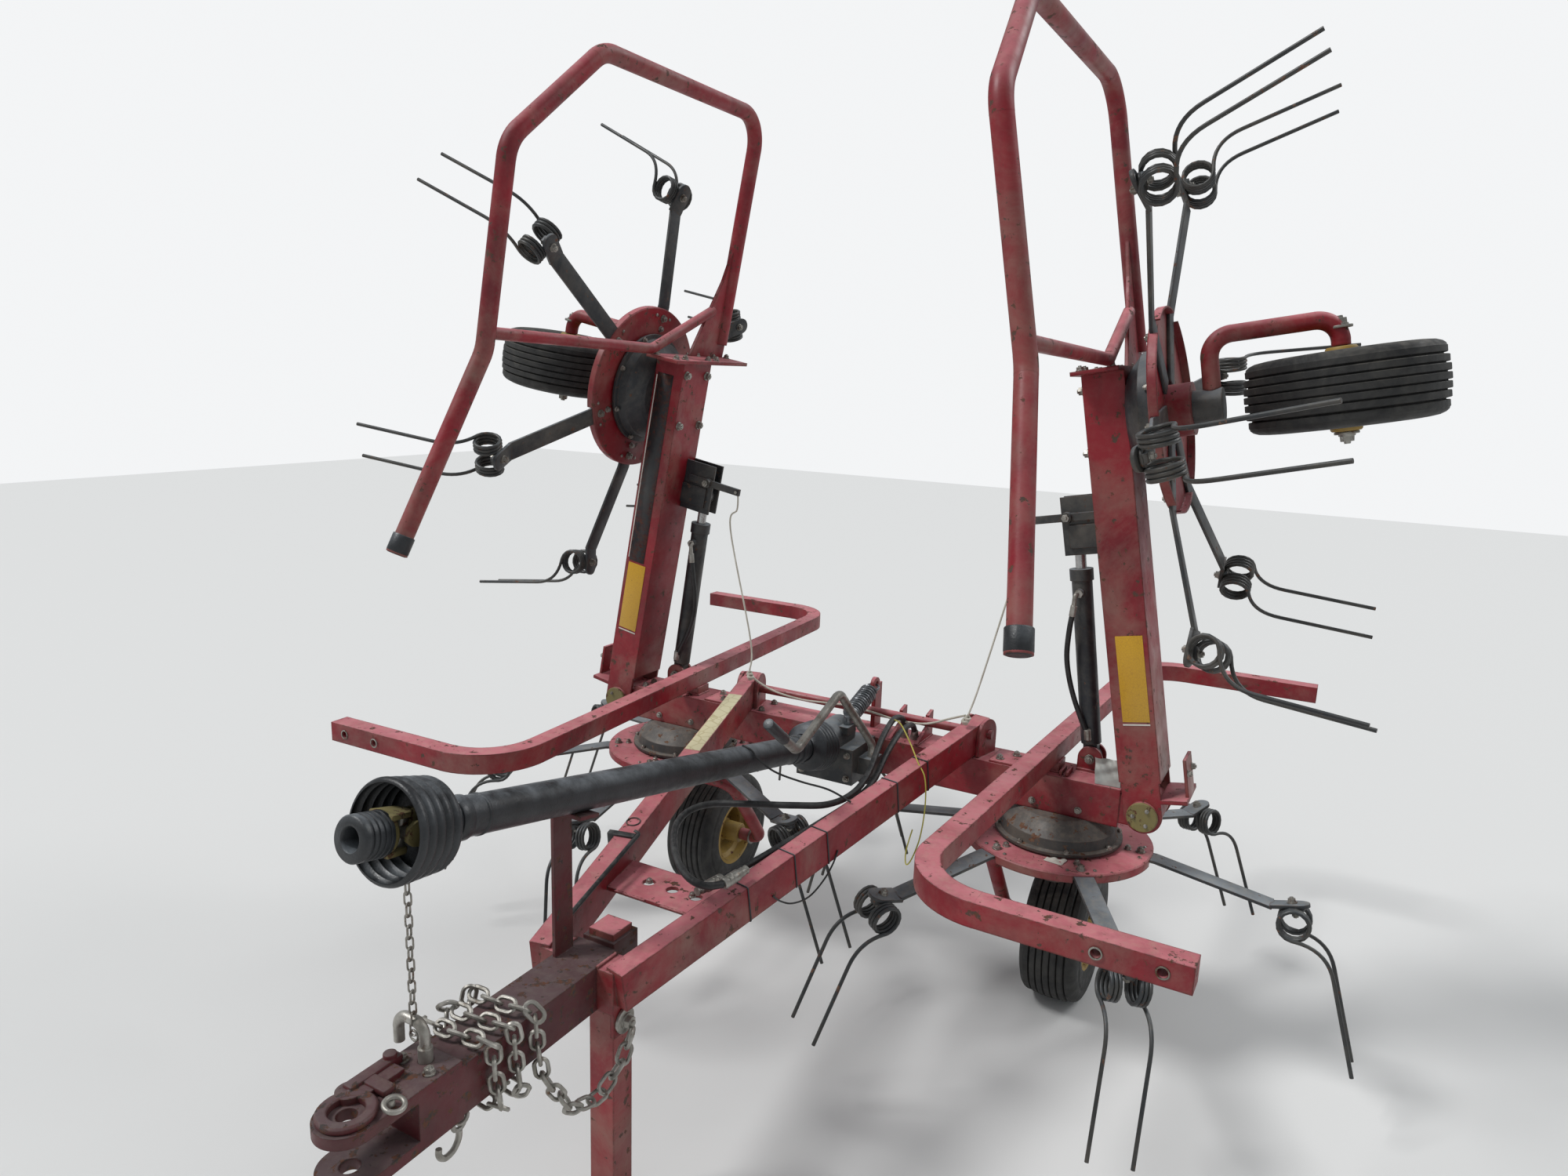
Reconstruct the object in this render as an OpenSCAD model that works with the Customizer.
// Towed four-rotor hay tedder, folded for the road.
// +X is to the right seen from the front, -Y is the towing direction, +Z is up, in mm.
// Each wing is drawn as it lies at work (outward along +X from its hinge) and is then folded up.

/* [Stance] */

// Distance between the spindles of neighbouring rotors
rotor_pitch = 1200; // [1160:5:1240]
// Height of the wing hinge line above the ground
hinge_z = 700; // [690:1:715]
// Distance of each wing hinge line from the centre plane
hinge_x = 820; // [810:1:840]
// Angle that a wing is folded up from its working position
fold_deg = 100.5; // [90:0.5:103]

/* [Rotors] */

// Height of the hinge line above the top of a rotor disc
disc_drop = 127; // [122:1:135]
// Radius of a rotor disc
disc_r = 243; // [225:1:255]
// Thickness of the disc plate and of its skirt
disc_t = 4; // [3:0.5:6]
// Height of the skirt round a rotor disc
skirt_h = 22; // [16:1:30]
// Number of tine arms on a rotor
arm_count = 6; // [6:1:6]
// Width of a tine arm bar
arm_w = 50; // [40:1:56]
// Thickness of a tine arm bar
arm_t = 8; // [6:1:10]
// Radius at which an arm bar bends down outside its disc
arm_bend_r = 252; // [248:1:262]
// Radius at which the tine holder begins
arm_tip_r = 530; // [500:5:545]
// Slope of the arm bar outside the disc
arm_slope = 9; // [6:0.5:11]
// Length of the tab that holds a double tine
tab_len = 88; // [80:1:100]
// Backward slope of the tab
tab_slope = 14; // [8:1:18]
// Play between a turning hub and its spindle
hub_fit = 0.08; // [0.02:0.01:0.1]

/* [Tines] */

// Thickness of the tine wire
wire_d = 9.5; // [8:0.5:11]
// Outer diameter of a tine coil
coil_d = 78; // [68:1:84]
// Number of turns in one coil
coil_turns = 4; // [3:1:5]
// Gap between the two coils of a tine
coil_gap = 30; // [26:1:36]
// Length of the wire between the coil and its bend
wire_a = 42; // [30:1:60]
// Length of the wire beyond its bend
wire_b = 290; // [240:1:300]
// Bend radius of the wire
wire_bend_r = 48; // [35:1:60]
// Angle through which the wire bends towards the ground
wire_bend = 73; // [60:1:76]

/* [Wheels] */

// Outer diameter of a tyre
tyre_d = 412; // [400:2:424]
// Width of a tyre
tyre_w = 165; // [150:1:172]
// Diameter of the rim seat
rim_d = 206; // [200:1:212]
// Radius of a wheel axle
axle_r = 14; // [11:0.5:16]
// Distance of the inner wheels behind their spindles
trail_in = 200; // [180:1:220]
// Distance of the outer wheels behind their spindles
trail_out = 60; // [40:1:80]
// Distance of an inner wheel leg from the middle of its wheel
leg_in = 178; // [165:1:185]
// Distance of an outer wheel leg from the middle of its wheel
leg_out = 158; // [150:1:175]
// Diameter of the wheel leg tube
leg_d = 40; // [34:1:44]

/* [Crossbeam and wings] */

// Height of the crossbeam and of the wing beams
beam_h = 100; // [90:1:104]
// Depth of the crossbeam from front to back
cross_w = 120; // [110:1:124]
// Width of a wing beam from front to back
wing_w = 140; // [136:1:150]
// Distance from the hinge line to the end plate of a wing beam
wing_len = 1100; // [1080:5:1130]
// Distance from the hinge line to the rotor spindle of a wing
wing_rotor_a = 980; // [960:5:1000]
// Radius of a hinge pin
pin_r = 17; // [14:0.5:20]
// Thickness of the cheek plates at a wing's foot
cheek_t = 8; // [6:1:9]
// Diameter of the guard tube on a wing
guard_d = 44; // [38:1:48]
// Side of the square tube of an inner guard
hoop_w = 50; // [44:1:54]
// Height of the underside of the inner guards above the ground
hoop_z = 775; // [768:1:790]
// Distance of the inner guards' long tubes from the middle of the machine
hoop_in = 566; // [560:1:572]
// Reach of the inner guards' front ends from the middle of the machine
hoop_tip_front = 1060; // [1020:5:1070]
// Reach of the inner guards' rear ends from the middle of the machine
hoop_tip_rear = 1145; // [1100:5:1155]

/* [Fold cylinders] */

// Distance of a fold cylinder behind the hinge centre
cyl_y = 50; // [40:1:54]
// Outer diameter of a cylinder barrel
barrel_d = 52; // [44:1:56]
// Length of a cylinder barrel from its base pin to its gland
barrel_len = 500; // [470:5:520]
// Diameter of a cylinder rod
rod_d = 28; // [22:1:32]

/* [Drawbar and drive] */

// Distance of the hitch pin hole in front of the hinge line
hitch_y = 1750; // [1700:5:1780]
// Height of the top of the tongue above the ground
tongue_top = 645; // [635:1:655]
// Width of the tongue
tongue_w = 100; // [90:1:110]
// Radius of the hitch pin hole
hitch_r = 16; // [13:0.5:20]
// Diameter of the drive shaft's guard tube
pto_d = 68; // [60:1:74]
// Side of the square stand leg
stand_w = 60; // [54:1:62]

/* [Hidden] */

$fn = 48;
red = [0.62, 0.09, 0.12];
black = [0.10, 0.10, 0.11];
steel = [0.45, 0.44, 0.42];
yellow = [0.82, 0.68, 0.25];

rotor_x = rotor_pitch / 2;
disc_z = hinge_z - disc_drop;
cross_top = hinge_z + beam_h / 2;
wheel_z = tyre_d / 2;
// front and rear ends of the inner guards
hoop_front = -925;
hoop_rear = 985;
mid_y = (hitch_y + tongue_w / 2 - hoop_rear - hoop_w / 2) / 2;
// rotor phase, from the +X (inner) or outward (outer) direction towards +Y, and tine lean
//            phase lean
rotor_ir = [0, -10];
rotor_il = [34, 10];
rotor_or = [22, 6];
rotor_ol = [9.4, 6];

// Bent bars in the XY plane: straight runs and arcs along a line of corner points
function unit(v) = v / norm(v);
function turn(a, b) = atan2(a[0] * b[1] - a[1] * b[0], a * b);
function run_dir(p, i) = unit(p[i + 1] - p[i]);
function cut_back(p, r, i) = (i <= 0 || i >= len(p) - 1) ? 0
    : r * tan(abs(turn(run_dir(p, i - 1), run_dir(p, i))) / 2);

// The arcs are a hair thicker than the runs, and the runs reach a little into them.
swell = 0.4;
lap = 1;

module section(d, w, grow) {
    if (d > 0)
        circle(d = d + grow);
    else
        square(w + grow, center = true);
}

module bent_bar(p, r, d = 0, w = 0) {
    last = len(p) - 1;
    for (i = [0:last - 1]) {
        u = run_dir(p, i);
        lap0 = i == 0 ? 0 : lap;
        lap1 = i == last - 1 ? 0 : lap;
        s = p[i] + u * (cut_back(p, r, i) - lap0);
        len_i = norm(p[i + 1] - p[i]) - cut_back(p, r, i) - cut_back(p, r, i + 1) + lap0 + lap1;
        translate([s[0], s[1], 0])
            rotate([0, 0, atan2(u[1], u[0])])
                rotate([90, 0, 90])
                    linear_extrude(len_i)
                        section(d, w, 0);
    }
    for (i = [1:last - 1]) {
        u0 = run_dir(p, i - 1);
        a = turn(u0, run_dir(p, i));
        sg = a > 0 ? 1 : -1;
        s = p[i] - u0 * cut_back(p, r, i);
        c = s + sg * r * [-u0[1], u0[0]];
        h = atan2(u0[1], u0[0]);
        translate([c[0], c[1], 0])
            rotate([0, 0, a > 0 ? h - 90 : h + 90 + a])
                rotate_extrude(angle = abs(a))
                    translate([r, 0])
                        section(d, w, swell);
    }
}

// Places
// the whole part is moved so that the origin lies under the middle of its outline
module at() {
    translate([0, mid_y, 0])
        children();
}

module wing_place() {
    translate([hinge_x, 0, hinge_z])
        rotate([0, -fold_deg, 0])
            children();
}

module left() {
    mirror([1, 0, 0])
        children();
}

module inner_rotor_place() {
    translate([rotor_x, 0, disc_z])
        children();
}

module outer_rotor_place() {
    wing_place()
        translate([wing_rotor_a, 0, -disc_drop])
            children();
}

// Frame
boss_r = 42;
base_pin = [hinge_x - 160, cyl_y, hinge_z + 85];
base_lug_t = 8;
eye_w = 30;
eye_r = 24;
lug_gap = eye_w + 4;

module crossbeam() {
    color(red) {
        difference() {
            union() {
                translate([-hinge_x + 60, -cross_w / 2, hinge_z - beam_h / 2])
                    cube([2 * hinge_x - 120, cross_w, beam_h]);
                for (s = [-1, 1]) {
                    translate([s * hinge_x, cross_w / 2 - 2, hinge_z])
                        rotate([90, 0, 0])
                            cylinder(r = boss_r, h = cross_w - 4);
                    translate([s * (hinge_x - 35) - 35, -cross_w / 2 + 2, hinge_z - boss_r + 4])
                        cube([70, cross_w - 4, 2 * boss_r - 8]);
                }
            }
            for (s = [-1, 1])
                translate([s * hinge_x, cross_w, hinge_z])
                    rotate([90, 0, 0])
                        cylinder(r = pin_r + hub_fit, h = 2 * cross_w);
        }
        // lugs that hold the cylinder bases
        for (s = [-1, 1], k = [-1, 1])
            translate([s * base_pin[0], cyl_y + k * (lug_gap + base_lug_t) / 2, 0])
                difference() {
                    union() {
                        translate([-32, -base_lug_t / 2, cross_top])
                            cube([64, base_lug_t, base_pin[2] - cross_top]);
                        translate([0, base_lug_t / 2, base_pin[2]])
                            rotate([90, 0, 0])
                                cylinder(r = 32, h = base_lug_t);
                    }
                    translate([0, base_lug_t, base_pin[2]])
                        rotate([90, 0, 0])
                            cylinder(r = 10 + hub_fit, h = 2 * base_lug_t);
                    translate([-40, -base_lug_t, cross_top - 60])
                        cube([80, 2 * base_lug_t, 60]);
                }
        // foot plates under those lugs
        for (s = [-1, 1])
            translate([s * base_pin[0] - 31, cyl_y - 32, cross_top])
                cube([62, 64, 6]);
        // pins through the cylinder bases
        for (s = [-1, 1])
            translate([s * base_pin[0], cyl_y + lug_gap / 2 + base_lug_t + 4, base_pin[2]])
                rotate([90, 0, 0])
                    cylinder(r = 10, h = lug_gap + 2 * base_lug_t + 8);
        // posts under the inner guards
        for (s = [-1, 1])
            translate([s * hoop_x(0) - 30, -30, cross_top])
                cube([60, 60, hoop_z - cross_top]);
        // lugs that carry the drawbar rails
        for (s = [0, 1])
            mirror([s, 0, 0])
                difference() {
                    translate([rail_x(0), 0, 0])
                        rotate([0, 0, -rail_yaw])
                            for (k = [-1, 1])
                                translate([k * (rail_w / 2 + 5.3) - 5, 0, 0]) {
                                    translate([0, -44, cross_top])
                                        cube([10, 88, bar_z - cross_top]);
                                    translate([0, 0, bar_z])
                                        rotate([0, 90, 0])
                                            cylinder(r = 44, h = 10);
                                }
                    pivot_bar(bar_d + 0.2);
                }
        // tall lug of the balance spring
        difference() {
            union() {
                translate([spring_x - lug_t / 2, spring_top[1] - 6, cross_top])
                    cube([lug_t, 60 - spring_top[1] + 6, spring_top[2] - cross_top]);
                translate([spring_x - lug_t / 2, spring_top[1], spring_top[2]])
                    rotate([0, 90, 0])
                        cylinder(r = 21, h = lug_t);
            }
            translate([spring_x - lug_t, spring_top[1], spring_top[2]])
                rotate([0, 90, 0])
                    cylinder(r = 10, h = 2 * lug_t);
        }
        // inclined ribs beside the gearbox
        for (x = [125, 205])
            translate([x + 5, 0, cross_top])
                rotate([90, 0, -90])
                    linear_extrude(10)
                        polygon([[-56, -1], [56, -1], [56, 4], [-22, 34], [-22, 66], [-56, 74]]);
    }
}

hoop_slope = 0.045;
function hoop_x(y) = hoop_in + y * hoop_slope;

module inner_guards() {
    color(red)
        for (s = [0, 1])
            mirror([s, 0, 0])
                translate([0, 0, hoop_z])
                    difference() {
                        translate([0, 0, hoop_w / 2])
                            bent_bar([[hoop_tip_front, hoop_front], [hoop_x(hoop_front + 10), hoop_front + 10],
                                [hoop_x(hoop_rear - 5), hoop_rear - 5],
                                [hoop_tip_rear, hoop_rear]], 150, w = hoop_w);
                        for (x = [hoop_tip_front - 160, hoop_tip_front - 50])
                            translate([x, hoop_front + 2 * hoop_w, hoop_w / 2])
                                rotate([90, 0, 0])
                                    cylinder(r = 9, h = 3 * hoop_w);
                    }
}

// Drawbar
rail_w = 45;
rail_h = 80;
rail_rear = [365, 20, cross_top + 96];
rail_front = [92, -1235, tongue_top];
rail_yaw = atan2(rail_rear[0] - rail_front[0], rail_rear[1] - rail_front[1]);
rail_plan = norm([rail_rear[0] - rail_front[0], rail_rear[1] - rail_front[1]]);
rail_pitch = atan2(rail_rear[2] - rail_front[2], rail_plan);
rail_len = norm(rail_rear - rail_front);
stand_y = -1130;
sleeve_w = stand_w + 16;
// line of the drive shaft
pto_rear = [0, -300, 780];
pto_front = [0, -1600, 1055];
pto_pitch = atan2(pto_front[2] - pto_rear[2], pto_rear[1] - pto_front[1]);
pto_len = norm(pto_front - pto_rear);
holder_y = -1226;
// the drive shaft lies just above the top of its holder
holder_gap = (pto_d / 2 + 0.3) / cos(pto_pitch);
function holder_top(dy) = pto_z(holder_y) - holder_gap - dy * tan(pto_pitch) - 8 / cos(pto_pitch);
function pto_z(y) = pto_rear[2] + (pto_rear[1] - y) * tan(pto_pitch);
function rail_x(y) = rail_front[0] + (rail_rear[0] - rail_front[0])
    * (y - rail_front[1]) / (rail_rear[1] - rail_front[1]);
function rail_top(y) = rail_front[2] + (rail_rear[2] - rail_front[2])
    * (y - rail_front[1]) / (rail_rear[1] - rail_front[1]);

module rail() {
    translate(rail_rear)
        rotate([0, 0, -rail_yaw])
            rotate([rail_pitch, 0, 0])
                translate([-rail_w / 2, -rail_len, -rail_h])
                    cube([rail_w, rail_len, rail_h]);
}

bar_d = 25;
bar_z = rail_top(0) - 38;

module pivot_bar(d) {
    translate([-rail_x(0) - 42, 0, bar_z])
        rotate([0, 90, 0])
            cylinder(d = d, h = 2 * rail_x(0) + 84);
}

module a_frame() {
    color(red) {
        rail();
        left()
            rail();
        // round bar through the rear ends of the rails
        pivot_bar(bar_d);
        // nose plates that take the tongue between the rails
        for (s = [0, 1])
            mirror([s, 0, 0])
                translate([tongue_w / 2, rail_front[1], tongue_top - 95])
                    cube([40, 62, 88]);
        // ear that the chain hangs from
        translate([80, -1232, tongue_top - 145])
            cube([10, 54, 60]);
        // cross plate with three holes
        difference() {
            translate([-rail_x(-925), -990, 640])
                cube([2 * rail_x(-925), 130, 8]);
            for (x = [-58, 5, 66])
                translate([x, -925, 600])
                    cylinder(r = 14, h = 100);
        }
    }
}

module tongue() {
    tb = tongue_top - 95;
    color(red) {
        difference() {
            union() {
                translate([-tongue_w / 2, -hitch_y + 90, tb])
                    cube([tongue_w, hitch_y - 90 + stand_y - sleeve_w / 2, 90]);
                // jaw plates at the tip
                for (z = [tb - 6, tongue_top - 14])
                    translate([0, -hitch_y, z]) {
                        cylinder(r = tongue_w / 2, h = 20);
                        translate([-tongue_w / 2, 0, 0])
                            cube([tongue_w, 180, 20]);
                    }
                // sleeve for the stand leg
                translate([-sleeve_w / 2, stand_y - sleeve_w / 2, tb - 10])
                    cube([sleeve_w, sleeve_w, 110]);
            }
            translate([0, -hitch_y, tb - 50])
                cylinder(r = hitch_r, h = 250);
            translate([-stand_w / 2 - 0.3, stand_y - stand_w / 2 - 0.3, tb - 50])
                cube([stand_w + 0.6, stand_w + 0.6, 250]);
            translate([0, -hitch_y + 150, tb - 50])
                cylinder(r = 12.5, h = 250);
        }
        // flat bar with a bent-over top that carries the drive shaft
        translate([-44, holder_y, 0])
            rotate([90, 0, 90])
                linear_extrude(8)
                    polygon([[-25, tongue_top - 6], [25, tongue_top - 6], [25, holder_top(25) + 3],
                        [-25, holder_top(-25) + 3]]);
        translate([0, holder_y, pto_z(holder_y) - holder_gap])
            rotate([-pto_pitch, 0, 0])
                translate([-46, -27, -8])
                    cube([76, 54, 8]);
        // flap and lock of the jaw
        translate([-tongue_w / 2 + 6, -hitch_y + 34, tongue_top + 5.5])
            cube([44, 74, 12]);
        translate([-tongue_w / 2 + 20, -hitch_y + 30, tongue_top + 5.5])
            cylinder(r = 22, h = 12);
    }
}

module hitch_pin() {
    color(steel) {
        translate([0, -hitch_y + 150, tongue_top - 120])
            cylinder(r = 12, h = 150);
        translate([-28, -hitch_y + 150, tongue_top + 20])
            rotate([90, 0, 0])
                bent_bar([[28, 0], [28, 50], [-32, 50], [-32, 0]], 22, d = 18);
    }
}

module stand_leg() {
    color(red) {
        translate([-stand_w / 2, stand_y - stand_w / 2, 8])
            cube([stand_w, stand_w, 655]);
        translate([-65, stand_y - 75, 0])
            cube([130, 150, 8]);
    }
}

// Drive
module gearbox() {
    color(black) {
        translate([-85, -205, hinge_z - 45])
            cube([170, 205 - cross_w / 2, 100]);
        // raised input housing with its neck
        translate([0, -110, 770])
            rotate([90, 0, 0])
                cylinder(r = 46, h = 104);
        translate([0, -213, 770])
            rotate([90, 0, 0])
                cylinder(r = 30, h = 26);
        // lug under the spring
        translate([spring_x - 16, -180, 785])
            cube([32, 50, spring_base - 785]);
        // bracket on its side that the crank turns in
        difference() {
            translate([80, -170, cross_top - 70])
                cube([crank_x + 18 - 80, 60, 46]);
            translate([crank_x, crank_line[0][0], cross_top - 100])
                cylinder(d = crank_d + 0.4, h = 100);
        }
    }
}

module pto_place() {
    translate(pto_rear)
        rotate([90 + pto_pitch - 2 * pto_pitch, 0, 0])
            children();
}

module cone_ring(r0, r1, len) {
    steps = 5;
    rotate_extrude()
        polygon(concat(
            [for (i = [0:steps], k = [0, 1])
                let(f = (i + k * 0.5) / (steps + 0.5))
                    [r0 + (r1 - r0) * f + (k == 0 ? 0 : 5), len * f]],
            [for (i = [steps:-1:0], k = [1, 0])
                let(f = (i + k * 0.5) / (steps + 0.5))
                    [r0 + (r1 - r0) * f - 4 + (k == 0 ? 0 : 5), len * f]]));
}

pto_bore = 19;

module pto_guard() {
    color(black)
        pto_place()
            difference() {
                union() {
                    cylinder(d = pto_d, h = pto_len - 40);
                    translate([0, 0, pto_len - 60])
                        cone_ring(pto_d / 2 + 3, 80, 120);
                    translate([0, 0, 44])
                        mirror([0, 0, 1])
                            cone_ring(pto_d / 2 + 3, 68, 98);
                    for (z = [34, pto_len - 64])
                        translate([0, 0, z])
                            cylinder(r = pto_d / 2 + 6, h = 14);
                }
                translate([0, 0, pto_len - 60])
                    cylinder(r = pto_bore, h = 120);
            }
}

module pto_yoke() {
    color(yellow)
        pto_place() {
            translate([0, 0, pto_len - 59])
                cylinder(r = pto_bore - hub_fit, h = 94);
            translate([0, 0, pto_len + 35])
                cylinder(r = 30, h = 30);
            translate([0, 0, pto_len + 65])
                difference() {
                    cylinder(r = 36, h = 55);
                    cylinder(r = 17.5, h = 60);
                }
        }
}

// tall lug on the crossbeam and the spring that runs from it to the gearbox
lug_t = 12;
spring_x = 40;
spring_top = [spring_x, 22, cross_top + 128];
spring_foot = [spring_x, -150, cross_top + 75];
spring_base = spring_foot[2] - 18;
spring_len = norm(spring_top - spring_foot);
spring_wire = 8;
spring_r = 22;
spring_turns = 15;

module balance_spring() {
    color(black)
        translate([spring_x, spring_foot[1], spring_base])
            cylinder(r = 12, h = spring_foot[2] - spring_base + 7);
    color(black)
        translate(spring_foot)
            rotate([-atan2(spring_top[1] - spring_foot[1], spring_top[2] - spring_foot[2]), 0, 0]) {
                // the coils as one revolved band with a groove between its turns
                translate([0, 0, spring_len - 42 - spring_turns * spring_wire])
                    rotate_extrude()
                        polygon(concat(
                            [for (k = [0:spring_turns - 1], q = [[-1.8, 0], [0, 2.4], [0, 5.6]])
                                [spring_r + 4 + q[0], k * spring_wire + q[1]]],
                            [[spring_r + 2.2, spring_turns * spring_wire],
                                [5, spring_turns * spring_wire], [5, 0]]));
                // rod through the coils and the eye that hooks into the lug
                cylinder(r = 7, h = spring_len - 38);
                translate([0, 0, spring_len - 19])
                    rotate([90, 0, 0])
                        rotate_extrude()
                            translate([18, 0])
                                circle(d = 8);
            }
}

crank_x = 112;
crank_d = 22;
// corner points [y, z] of the crank
crank_line = [[-140, cross_top - 60], [-140, cross_top + 10], [-360, 965], [-580, 880], [-715, 985]];

module crank_handle() {
    color(steel)
        translate([crank_x, 0, 0])
            rotate([90, 0, 90])
                bent_bar(crank_line, 34, d = crank_d);
}

// Cords and chain
// a tube along hand-chosen points, with a ring at every point
function line_dir(p, i) = unit(p[min(i + 1, len(p) - 1)] - p[max(i - 1, 0)]);
function ring_x(d) = unit(cross(d, abs(d[2]) < 0.8 ? [0, 0, 1] : [1, 0, 0]));

module cord_tube(p, d, sides = 10) {
    last = len(p) - 1;
    polyhedron(
        points = [for (i = [0:last], k = [0:sides - 1])
            let(u = line_dir(p, i), x = ring_x(u), y = cross(u, x), a = k * 360 / sides)
                p[i] + d / 2 * (cos(a) * x + sin(a) * y)],
        faces = concat(
            [[for (k = [0:sides - 1]) k]],
            [for (i = [0:last - 1], k = [0:sides - 1])
                [i * sides + k, (i + 1) * sides + k, (i + 1) * sides + (k + 1) % sides,
                    i * sides + (k + 1) % sides]],
            [[for (k = [sides - 1:-1:0]) last * sides + k]]));
}

// smooth points between hand-chosen ones (Catmull-Rom), n to a stretch
function knot(p, i) = p[max(0, min(len(p) - 1, i))];
function smooth(p, n) = concat(
    [for (i = [0:len(p) - 2], j = [0:n - 1])
        let(t = j / n, a = knot(p, i - 1), b = p[i], c = p[i + 1], e = knot(p, i + 2))
            0.5 * (2 * b + (c - a) * t + (2 * a - 5 * b + 4 * c - e) * t * t
                + (3 * b - a - 3 * c + e) * t * t * t)],
    [p[len(p) - 1]]);

hose_d = 16;
// the loop that hangs free under the drive shaft
hose_loop = [[152, -10, 775], [152, -30, 810], [158, -110, 832], [176, -230, 812], [202, -360, 770],
    [212, -470, 758], [195, -570, 762], [130, -625, 764], [40, -665, 760], [-40, -700, 754],
    [-72, -750, 748], [-60, -820, 742], [-10, -900, 738], [50, -965, 735], [105, -1000, 732],
    [140, -995, 727], [158, -965, 723]];
// the hose that lies along the rail
hose_rail = [[182, -8, 772], [182, -36, 800], [186, -120, 806], [196, -230, 784], [212, -350, 748],
    [214, -470, 738], [189, -600, 724], [162, -720, 712], [134, -830, 700], [114, -900, 694]];

module coupler(p, aim) {
    translate(p)
        rotate([0, 0, atan2(aim[1] - p[1], aim[0] - p[0])])
            rotate([0, 90 - atan2(aim[2] - p[2], norm([aim[0] - p[0], aim[1] - p[1]])), 0]) {
                cylinder(r = 13, h = 46);
                translate([0, 0, 45])
                    cylinder(r = 10, h = 26);
            }
}

module hoses() {
    color(black) {
        cord_tube(smooth(hose_loop, 2), hose_d);
        cord_tube(smooth(hose_rail, 2), hose_d);
    }
    color(steel) {
        for (p = [hose_loop[0], hose_rail[0]])
            translate([p[0], p[1], cross_top])
                cylinder(r = 12, h = p[2] - cross_top + 4);
        coupler(hose_loop[len(hose_loop) - 1], [170, -905, 729]);
        coupler(hose_rail[len(hose_rail) - 1], [98, -965, 690]);
    }
}

// chain: links along a line of corner points, each turned a quarter against the last
link_pitch = 30;
link_len = 47;
link_w = 31;
link_wire = 8;
wrap_y = [-1420, -1472, -1520];
tongue_mid = tongue_top - 50;
chain_line = concat(
    [[114, -1210, 512], [112, -1240, 462], [106, -1300, 428], [98, -1360, 440], [86, -1398, 500]],
    [for (k = [0:2], c = [[71, 0, -66], [67, 8, 0], [71, 16, 66], [0, 24, 63], [-71, 30, 66],
        [-67, 36, 0], [-71, 42, -66], [0, 46, -63]])
        [c[0], wrap_y[k] - c[1] + 12, tongue_mid + c[2]]],
    [[50, wrap_y[2] - 40, tongue_mid - 64]]);

function run_len(p, i) = i == 0 ? 0 : run_len(p, i - 1) + norm(p[i] - p[i - 1]);
function at_len(p, s, i = 0) = let(d = norm(p[i + 1] - p[i]))
    s <= d || i >= len(p) - 2 ? p[i] + (p[i + 1] - p[i]) * s / d : at_len(p, s - d, i + 1);

// one link along u, lying across v: six stations round a long ring, four sides
module chain_link(c, u, v) {
    x = unit(v - u * (v * u));
    n = cross(u, x);
    a = (link_len - link_wire) / 2;
    b = (link_w - link_wire) / 2;
    ring = [[a, 0], [a - 0.62 * b, b], [-a + 0.62 * b, b], [-a, 0], [-a + 0.62 * b, -b], [a - 0.62 * b, -b]];
    polyhedron(
        points = [for (q = ring, k = [0:3])
            let(o = unit([q[0] / 1.4, q[1]]), r = link_wire / 2,
                e = k == 0 ? [r, 0] : k == 1 ? [0, r] : k == 2 ? [-r, 0] : [0, -r])
                c + u * (q[0] + o[0] * e[0]) + x * (q[1] + o[1] * e[0]) + n * e[1]],
        faces = [for (i = [0:5], k = [0:3])
            [i * 4 + k, i * 4 + (k + 1) % 4, ((i + 1) % 6) * 4 + (k + 1) % 4, ((i + 1) % 6) * 4 + k]]);
}

module safety_chain() {
    total = run_len(chain_line, len(chain_line) - 1);
    color(steel) {
        for (i = [0:floor((total - 20) / link_pitch)]) {
            s = 10 + i * link_pitch;
            c = at_len(chain_line, s);
            u = unit(at_len(chain_line, s + 14) - at_len(chain_line, max(0, s - 14)));
            side = unit(cross(u, [0, 1, 0.02]));
            up = cross(u, side);
            chain_link(c, u, i % 2 == 0 ? side + up : side - up);
        }
        // washer and bolt that hold the chain to the nose plate
        translate([90.3, -1205, tongue_top - 117])
            rotate([0, 90, 0]) {
                cylinder(r = 23, h = 8);
                cylinder(r = 11, h = 24);
            }
    }
}

// Rotors
spindle_r = 40;
column_h = 125;

module housing() {
    color(black)
        difference() {
            union() {
                rotate_extrude()
                    polygon([[0, 6], [165, 6], [165, 14], [152, 16], [146, 40], [112, 70],
                        [100, disc_drop - beam_h / 2], [0, disc_drop - beam_h / 2]]);
                translate([0, 0, -column_h])
                    cylinder(r = spindle_r, h = column_h + 10);
            }
        }
}

module disc() {
    color(red)
        difference() {
            rotate_extrude()
                polygon([[spindle_r + hub_fit, 0], [disc_r - 3, 0], [disc_r, -3], [disc_r, -skirt_h],
                    [disc_r - disc_t, -skirt_h], [disc_r - disc_t, -disc_t], [spindle_r + 22, -disc_t],
                    [spindle_r + 22, -60], [spindle_r + hub_fit, -60]]);
            for (i = [0:arm_count - 1])
                rotate([0, 0, i * 360 / arm_count])
                    translate([disc_r - 20, -arm_w / 2 - 1, -skirt_h - 1])
                        cube([40, arm_w + 2, skirt_h + 1 - disc_t - 0.3]);
        }
}

// each coil is one revolved band with a groove between its turns, a little thinner than the wire
coil_r = (coil_d - wire_d) / 2;
coil_len = coil_turns * wire_d;
band = wire_d / 2 - 0.9;
groove = 1.6;
tab_seat = 2.9;
arm_fall = (arm_tip_r - arm_bend_r) * tan(arm_slope);

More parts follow.
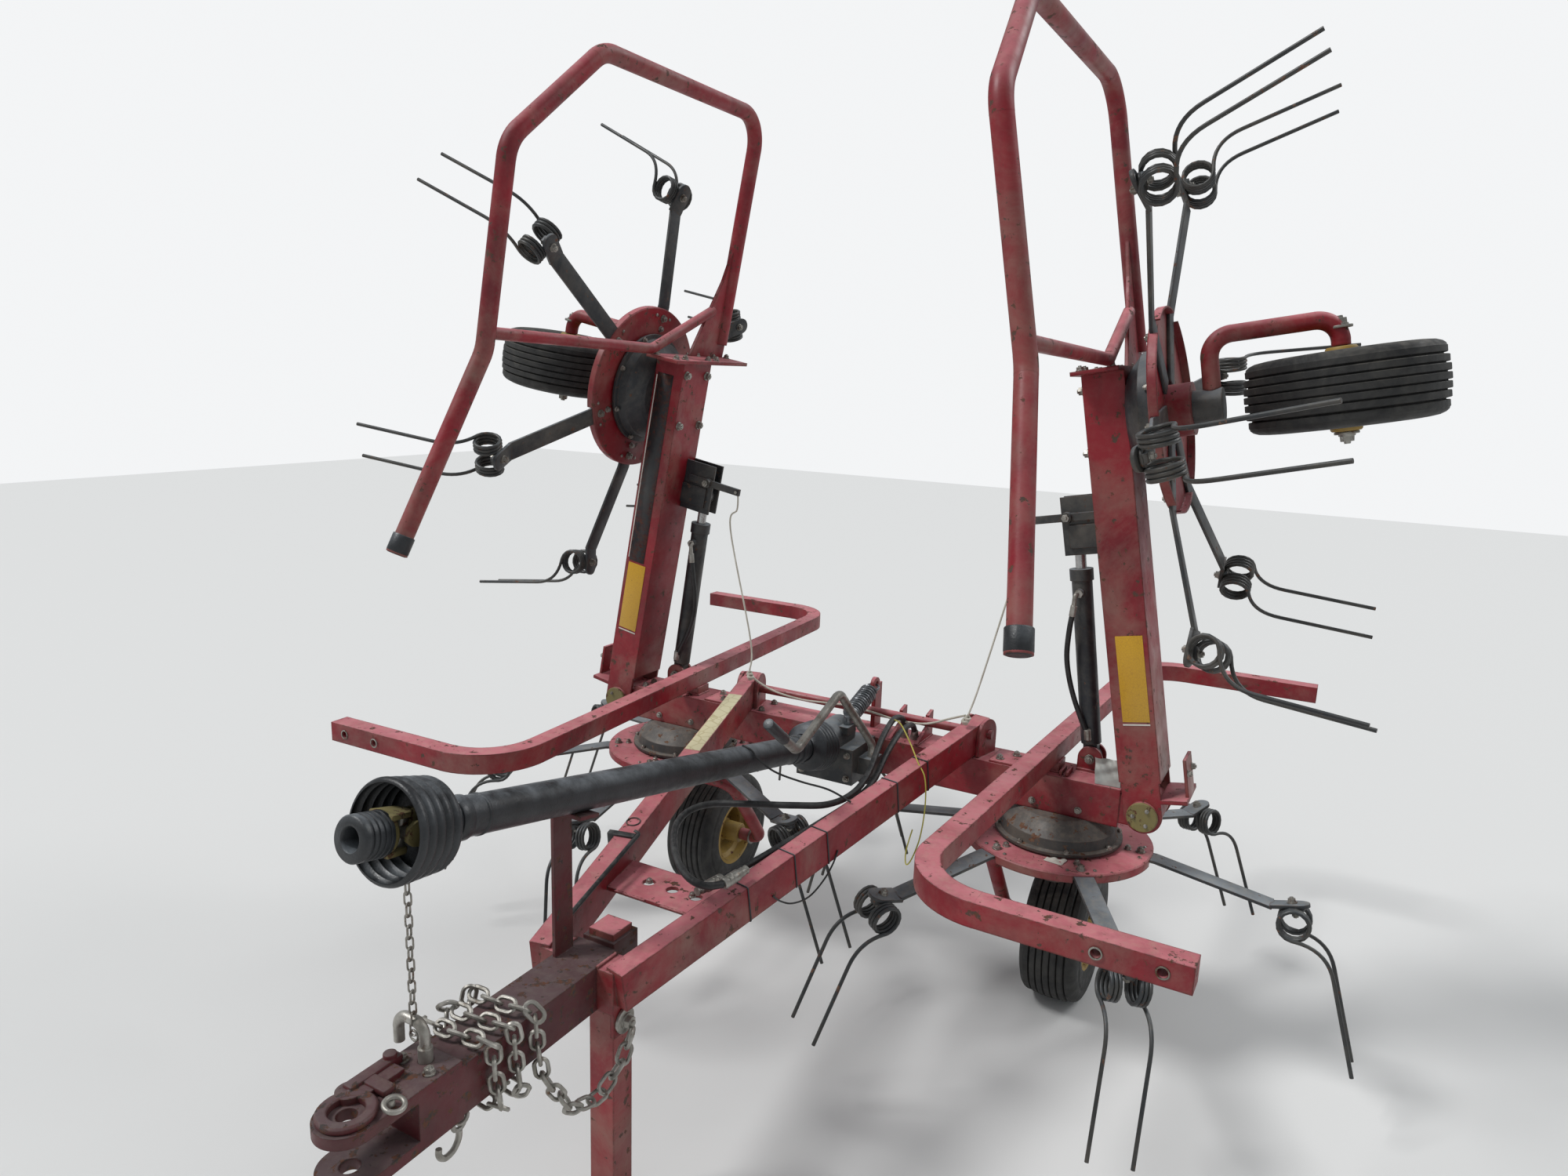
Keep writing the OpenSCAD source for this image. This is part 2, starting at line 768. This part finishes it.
module coil() {
    w = wire_d;
    rotate_extrude()
        polygon(concat(
            [for (k = [0:coil_turns - 1], q = [[-groove, 0], [0, 2.4], [0, w - 2.4]])
                [coil_r + band + q[0], k * w + q[1]]],
            [[coil_r + band - groove, coil_turns * w], [coil_r - band + groove, coil_turns * w]],
            [for (k = [coil_turns - 1:-1:0], q = [[0, w - 2.4], [0, 2.4], [groove, 0]])
                [coil_r - band + q[0], k * w + q[1]]]));
}

module tine_leg() {
    // the wire leaves the coil at its underside, runs outward and bends to the ground
    k = wire_a + wire_bend_r * tan(wire_bend / 2);
    translate([0, 0, -coil_r])
        rotate([90, 0, 0])
            bent_bar([[0, 0], [k, 0],
                [k + wire_b * cos(wire_bend), -wire_b * sin(wire_bend)]], wire_bend_r, d = wire_d);
}

module double_tine() {
    for (s = [-1, 1]) {
        translate([0, s * (coil_gap / 2 + coil_len / 2), 0])
            rotate([90, 0, 0])
                translate([0, 0, -coil_len / 2])
                    coil();
        translate([0, s * (coil_gap / 2 + coil_len - wire_d / 2 + 0.9), 0])
            tine_leg();
    }
    // loop of wire between the coils, and the holder that clamps it under the tab
    translate([0, 0, coil_r])
        rotate([90, 0, 0])
            cylinder(d = wire_d, h = coil_gap + 7, center = true);
    translate([-14, -coil_gap / 2 + 4, 6])
        cube([28, coil_gap - 8, coil_r - 4.5]);
}

module arm(lean) {
    // flat root under the disc and the sloping bar, in one side view
    translate([0, arm_w / 2, -disc_t - 0.3])
        rotate([90, 0, 0])
            linear_extrude(arm_w)
                polygon([[spindle_r + 30, 0], [arm_bend_r, 0], [arm_tip_r, -arm_fall],
                    [arm_tip_r, -arm_fall - arm_t], [arm_bend_r, -arm_t], [spindle_r + 30, -arm_t]]);
    translate([arm_tip_r, 0, -disc_t - 0.3 - arm_t / 2 - arm_fall])
        rotate([lean, 0, 0]) {
            rotate([0, -tab_slope, 0]) {
                translate([-4, -arm_w / 2 - 0.5, -arm_t / 2 - 0.5])
                    cube([tab_len, arm_w + 1, arm_t + 1]);
                translate([tab_len / 2, 0, -arm_t / 2 - coil_r - wire_d / 2 + tab_seat])
                    rotate([0, tab_slope, 0])
                        double_tine();
            }
        }
}

module tines(phase, lean) {
    color(black)
        for (i = [0:arm_count - 1])
            rotate([0, 0, phase + i * 360 / arm_count])
                arm(lean);
}

module disc_at(phase) {
    rotate([0, 0, phase])
        disc();
}

// Wheels: drawn about an axle along X
module tyre() {
    shoulder = 22;
    color(black)
        rotate([0, 90, 0])
            rotate_extrude($fn = 64)
                polygon([[rim_d / 2, -tyre_w / 2 + 12],
                    [tyre_d / 2 - 45, -tyre_w / 2], [tyre_d / 2 - 10, -tyre_w / 2 + 12],
                    [tyre_d / 2, -tyre_w / 2 + shoulder + 12], [tyre_d / 2, tyre_w / 2 - shoulder - 12],
                    [tyre_d / 2 - 10, tyre_w / 2 - 12], [tyre_d / 2 - 45, tyre_w / 2],
                    [rim_d / 2, tyre_w / 2 - 12]]);
}

module rim() {
    rs = rim_d / 2 - 0.3;
    rw = tyre_w / 2 - 8;
    color(yellow)
        rotate([0, 90, 0])
            rotate_extrude($fn = 64)
                polygon([[rs, -rw + 6], [rs, rw - 6], [rs - 6, rw - 6], [rs - 8, 6],
                    [40, 6], [30, rw + 20], [axle_r + hub_fit, rw + 20],
                    [axle_r + hub_fit, -rw - 20], [30, -rw - 20], [40, -6], [rs - 8, -6],
                    [rs - 6, -rw + 6]]);
}

// leg drawn in a plane that leans back from the spindle to the axle, then turned into place
module wheel_leg(trail, off, side) {
    rise = disc_z - column_h + 24 - wheel_z;
    reach = norm([trail, rise]);
    lean = atan2(trail, rise);
    color(red) {
        difference() {
            translate([0, 0, -column_h + 24])
                rotate([lean, 0, 0])
                    rotate([90, 0, 0])
                        bent_bar([[0, 0], [side * off, 0], [side * off, -reach],
                            [side * (tyre_w / 2 + 14), -reach]], 50, d = leg_d);
            translate([0, 0, -column_h - 40])
                cylinder(r = spindle_r + 0.2, h = column_h + 40);
        }
        translate([0, trail, wheel_z - disc_z])
            rotate([0, 90, 0])
                translate([0, 0, side * 20])
                    cylinder(r = axle_r, h = tyre_w + 68, center = true);
    }
}

module wheel_place(trail) {
    translate([0, trail, wheel_z - disc_z])
        children();
}

// Wings
module wing_beam() {
    color(red)
        difference() {
            union() {
                translate([85, -wing_w / 2, -beam_h / 2])
                    cube([wing_len - 85, wing_w, beam_h]);
                // cheeks round the hinge boss
                for (k = [-1, 1])
                    translate([0, k * (cross_w / 2 + 2 + cheek_t / 2) + cheek_t / 2, 0])
                        rotate([90, 0, 0])
                            linear_extrude(cheek_t)
                                union() {
                                    circle(r = 46);
                                    translate([0, -46])
                                        square([110, 92]);
                                }
                // end plate
                translate([wing_len - 10, -125, -beam_h / 2])
                    cube([10, 380, beam_h + 12]);
                // stop yoke on the outer side of the foot
                translate([32, -wing_w / 2, -108])
                    cube([10, wing_w, 66]);
                translate([32, -40, -108])
                    cube([104, 80, 8]);
            }
            translate([0, cross_w, 0])
                rotate([90, 0, 0])
                    cylinder(r = pin_r - 0.2, h = 2 * cross_w);
        }
    // hinge pin with its round head
    color(yellow)
        translate([0, cross_w / 2 + 2 + cheek_t + 8, 0])
            rotate([90, 0, 0]) {
                cylinder(r = pin_r, h = cross_w + 4 + 2 * cheek_t + 16);
                translate([0, 0, cross_w + 4 + 2 * cheek_t + 8])
                    cylinder(r = 37, h = 8);
            }
}

guard_tip = wing_len - 480;

module wing_guard() {
    color(red) {
        translate([0, 0, -30]) {
            bent_bar([[guard_tip, -987], [guard_tip + 470, -782], [wing_len + 460, -778],
                [wing_len + 712, -500], [wing_len + 712, 228], [wing_len + 40, 222]], 95, d = guard_d);
            bent_bar([[wing_len + 32, -778], [wing_len + 15.3, -130], [wing_len + 140, 150]], 60, d = 30);
            // gusset from the end plate up to the guard tube
            translate([0, 0, -5])
                linear_extrude(10)
                    polygon([[wing_len, 60], [wing_len, 240], [wing_len + 150, 250], [wing_len + 330, 238],
                        [wing_len + 330, 206], [wing_len + 230, 175]]);
        }
    }
    color(black)
        translate([guard_tip, -987, -30])
            rotate([0, 90, atan2(205, 470)])
                translate([0, 0, -6])
                    cylinder(d = guard_d + 6, h = 45);
}

// along the wing, the rod's pin lies this far past a barrel's length
rod_room = 200;
rod_pin = [barrel_len + rod_room, cyl_y, 120];
latch_t = 6;

module latch() {
    color(black) {
        for (k = [-1, 1])
            translate([rod_pin[0] - 50, cyl_y + k * (lug_gap + latch_t) / 2 - latch_t / 2, beam_h / 2])
                difference() {
                    cube([150, latch_t, 105]);
                    translate([50, latch_t * 2, 70])
                        rotate([90, 0, 0])
                            cylinder(r = 14, h = 4 * latch_t);
                }
        // lever, its pivot and the end that the rope pulls
        translate([rod_pin[0] + 38, cyl_y - lug_gap / 2 - latch_t - 9.5, beam_h / 2 + 20])
            cube([20, 10, 185]);
        translate([rod_pin[0] + 48, cyl_y - lug_gap / 2 - latch_t + 1, beam_h / 2 + 90])
            rotate([90, 0, 0])
                cylinder(r = 14, h = 22);
        // keeper plate under the lever
        translate([rod_pin[0] - 32, cyl_y - lug_gap / 2 - latch_t - 6.5, beam_h / 2])
            cube([60, 7, 88]);
    }
}

// angle of the cylinder above the outward direction, and its length between pins, when folded
pin_up = [rod_pin[0] * cos(fold_deg) - rod_pin[2] * sin(fold_deg) + hinge_x - base_pin[0],
    rod_pin[0] * sin(fold_deg) + rod_pin[2] * cos(fold_deg) + hinge_z - base_pin[2]];
cyl_deg = atan2(pin_up[1], pin_up[0]);
cyl_len = norm(pin_up);

module cyl_place() {
    translate(base_pin)
        rotate([0, -cyl_deg, 0])
            children();
}

module barrel() {
    color(black)
        difference() {
            union() {
                translate([0, eye_w / 2, 0])
                    rotate([90, 0, 0])
                        cylinder(r = eye_r, h = eye_w);
                translate([0, -eye_w / 2, -18])
                    cube([44, eye_w, 36]);
                translate([38, 0, 0])
                    rotate([0, 90, 0])
                        cylinder(d = barrel_d, h = barrel_len - 38);
                translate([barrel_len - 30, 0, 0])
                    rotate([0, 90, 0])
                        cylinder(d = barrel_d + 8, h = 30);
                // port
                translate([barrel_len - 60, -barrel_d / 2 - 14, 0])
                    rotate([-90, 0, 0])
                        cylinder(r = 11, h = 24);
            }
            translate([0, barrel_d, 0])
                rotate([90, 0, 0])
                    cylinder(r = 10 + hub_fit, h = 2 * barrel_d);
            translate([60, 0, 0])
                rotate([0, 90, 0])
                    cylinder(r = rod_d / 2 + hub_fit, h = barrel_len);
        }
}

module rod() {
    color(steel) {
        translate([80, 0, 0])
            rotate([0, 90, 0])
                cylinder(d = rod_d, h = cyl_len - 80 - 12);
        translate([cyl_len, eye_w / 2, 0])
            rotate([90, 0, 0])
                cylinder(r = eye_r, h = eye_w);
    }
}

at() crossbeam();
at() gearbox();
at() a_frame();
at() tongue();
at() hitch_pin();
at() inner_guards();
union() {  // inner_housings
    at() inner_rotor_place() housing();
    at() left() inner_rotor_place() housing();
}
union() {  // inner_legs
    at() inner_rotor_place() wheel_leg(trail_in, leg_in, -1);
    at() left() inner_rotor_place() wheel_leg(trail_in, leg_in, -1);
}
at() balance_spring();
at() crank_handle();
at() pto_guard();
at() pto_yoke();
at() stand_leg();
at() safety_chain();
at() hoses();
at() wing_place() wing_beam();  // wing_beam_right
at() wing_place() wing_guard();  // wing_guard_right
at() outer_rotor_place() housing();  // wing_housing_right
at() outer_rotor_place() wheel_leg(trail_out, leg_out, 1);  // wing_leg_right
at() wing_place() latch();  // latch_right
at() cyl_place() barrel();  // barrel_right
at() cyl_place() rod();  // rod_right
at() left() wing_place() wing_beam();  // wing_beam_left
at() left() wing_place() wing_guard();  // wing_guard_left
at() left() outer_rotor_place() housing();  // wing_housing_left
at() left() outer_rotor_place() wheel_leg(trail_out, leg_out, 1);  // wing_leg_left
at() left() wing_place() latch();  // latch_left
at() left() cyl_place() barrel();  // barrel_left
at() left() cyl_place() rod();  // rod_left
at() inner_rotor_place() disc_at(rotor_ir[0]);  // disc_inner_right
at() inner_rotor_place() tines(rotor_ir[0], rotor_ir[1]);  // tines_inner_right
at() left() inner_rotor_place() disc_at(180 - rotor_il[0]);  // disc_inner_left
at() left() inner_rotor_place() tines(180 - rotor_il[0], -rotor_il[1]);  // tines_inner_left
at() outer_rotor_place() disc_at(rotor_or[0]);  // disc_outer_right
at() outer_rotor_place() tines(rotor_or[0], rotor_or[1]);  // tines_outer_right
at() left() outer_rotor_place() disc_at(rotor_ol[0]);  // disc_outer_left
at() left() outer_rotor_place() tines(rotor_ol[0], rotor_ol[1]);  // tines_outer_left
at() inner_rotor_place() wheel_place(trail_in) tyre();  // tyre_inner_right
at() inner_rotor_place() wheel_place(trail_in) rim();  // rim_inner_right
at() left() inner_rotor_place() wheel_place(trail_in) tyre();  // tyre_inner_left
at() left() inner_rotor_place() wheel_place(trail_in) rim();  // rim_inner_left
at() outer_rotor_place() wheel_place(trail_out) tyre();  // tyre_outer_right
at() outer_rotor_place() wheel_place(trail_out) rim();  // rim_outer_right
at() left() outer_rotor_place() wheel_place(trail_out) tyre();  // tyre_outer_left
at() left() outer_rotor_place() wheel_place(trail_out) rim();  // rim_outer_left
